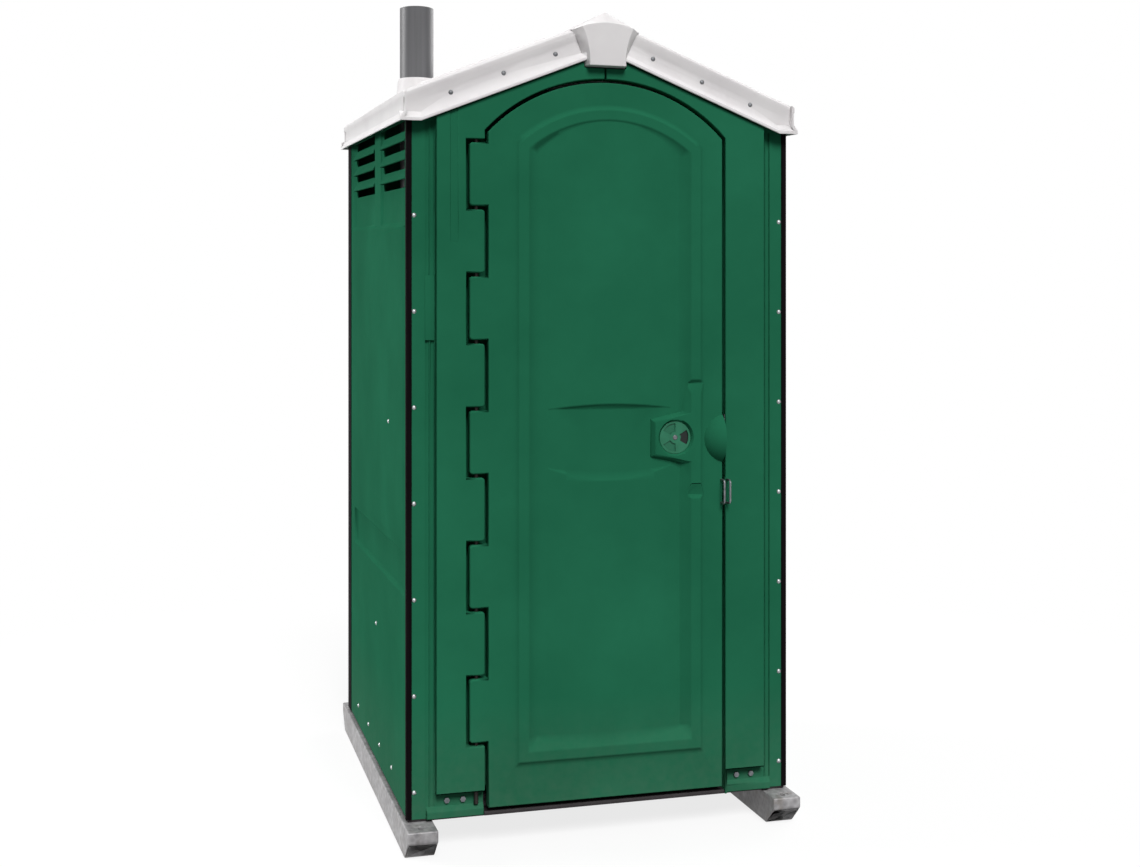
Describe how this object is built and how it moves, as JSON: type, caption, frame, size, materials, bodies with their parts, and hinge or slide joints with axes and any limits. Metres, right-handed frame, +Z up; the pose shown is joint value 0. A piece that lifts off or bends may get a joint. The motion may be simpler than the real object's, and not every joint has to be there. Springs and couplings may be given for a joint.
{
  "type": "portable toilet cabin",
  "caption": "Free-standing moulded toilet cabin on steel skids, with a hinged arched door, latch, gabled roof, vent pipe, tank and seat.",
  "frame": {"origin": "on the ground below the middle of the cabin, at the centre of its box's lower face", "axes": "+X towards the latch side, seen from the front on the right; +Y to the rear; +Z up"},
  "size_m": [1.142, 1.38, 2.49],
  "materials": {
    "green_moulded_plastic": "satin moulded",
    "black_strip_plastic": "satin",
    "pale_roof_plastic": "satin translucent",
    "grey_pipe_plastic": "semi gloss",
    "galvanised_steel": "galvanised",
    "zinc_steel": "zinc plated",
    "rivet_aluminium": "bright",
    "dark_floor_plastic": "matt",
    "black_seat_plastic": "semi gloss",
    "grey_sanitary_plastic": "satin",
    "dial_plastic": "satin",
    "black_rubber": "matt",
    "tissue_paper": "soft matt"
  },
  "bodies": {
    "cabin": {"skid_left": "galvanised_steel", "skid_right": "galvanised_steel", "floor_pan": "dark_floor_plastic", "door_threshold": "black_strip_plastic", "side_wall_left": "green_moulded_plastic", "side_wall_right": "green_moulded_plastic", "rear_wall": "green_moulded_plastic", "front_panel_hinge_side": "green_moulded_plastic", "front_panel_latch_side": "green_moulded_plastic", "corner_strip_front_left": "black_strip_plastic", "corner_strip_front_right": "black_strip_plastic", "corner_strip_rear_left": "black_strip_plastic", "corner_strip_rear_right": "black_strip_plastic", "roof_shell": "pale_roof_plastic", "vent_pipe": "grey_pipe_plastic", "vent_pipe_collar": "black_rubber", "front_rivets": "rivet_aluminium", "rear_rivets": "rivet_aluminium", "side_rivets": "rivet_aluminium", "roof_rivets": "rivet_aluminium", "ledge_bolts": "zinc_steel", "hinge_rod": "zinc_steel", "strike_plate": "zinc_steel", "jamb_padlock_loop": "zinc_steel", "waste_tank": "dark_floor_plastic", "tank_deck": "dark_floor_plastic", "seat_hinge_posts": "black_seat_plastic", "urinal": "grey_sanitary_plastic", "urinal_drain_pipe": "grey_pipe_plastic", "paper_holder": "grey_sanitary_plastic", "paper_spindle": "grey_sanitary_plastic"},
    "door": {"door_outer_skin": "green_moulded_plastic", "door_inner_skin": "green_moulded_plastic", "dome_pull": "green_moulded_plastic", "door_padlock_loop": "zinc_steel", "indicator_bezel": "green_moulded_plastic", "bolt_guide": "black_seat_plastic"},
    "latch_turn": {"indicator_disc": "dial_plastic", "dial_screw": "zinc_steel", "latch_spindle": "zinc_steel", "latch_knob": "black_seat_plastic"},
    "bolt": {"latch_bolt": "zinc_steel"},
    "seat": {"toilet_seat": "black_seat_plastic"},
    "lid": {"seat_lid": "black_seat_plastic"},
    "roll_front": {"paper_roll_front": "tissue_paper"},
    "roll_rear": {"paper_roll_rear": "tissue_paper"}
  },
  "joints": [
    {"name": "door_hinge", "type": "hinge", "parent": "cabin", "child": "door", "pos_m": [-0.361, -0.618, 1.1], "axis": [0, 0, -1], "range_deg": [0, 115]},
    {"name": "latch_knob_turn", "type": "hinge", "parent": "door", "child": "latch_turn", "pos_m": [0.201, -0.6, 1.102], "axis": [0, 1, 0], "range_deg": [0, 60]},
    {"name": "bolt_slide", "type": "slide", "parent": "door", "child": "bolt", "axis": [1, 0, 0], "range_m": [0, 0.028]},
    {"name": "seat_hinge", "type": "hinge", "parent": "cabin", "child": "seat", "pos_m": [0, 0.452, 0.551], "axis": [-1, 0, 0], "range_deg": [0, 90]},
    {"name": "lid_hinge", "type": "hinge", "parent": "cabin", "child": "lid", "pos_m": [0, 0.452, 0.551], "axis": [-1, 0, 0], "range_deg": [-98, 0]},
    {"name": "roll_front_spin", "type": "hinge", "parent": "cabin", "child": "roll_front", "pos_m": [0.464, 0.06, 0.905], "axis": [0, 1, 0], "continuous": true},
    {"name": "roll_rear_spin", "type": "hinge", "parent": "cabin", "child": "roll_rear", "pos_m": [0.464, 0.06, 0.905], "axis": [0, 1, 0], "continuous": true}
  ],
  "couplings": [
    {"joint": "bolt_slide", "follows": "latch_knob_turn", "m_per_rad": 0.02673}
  ]
}
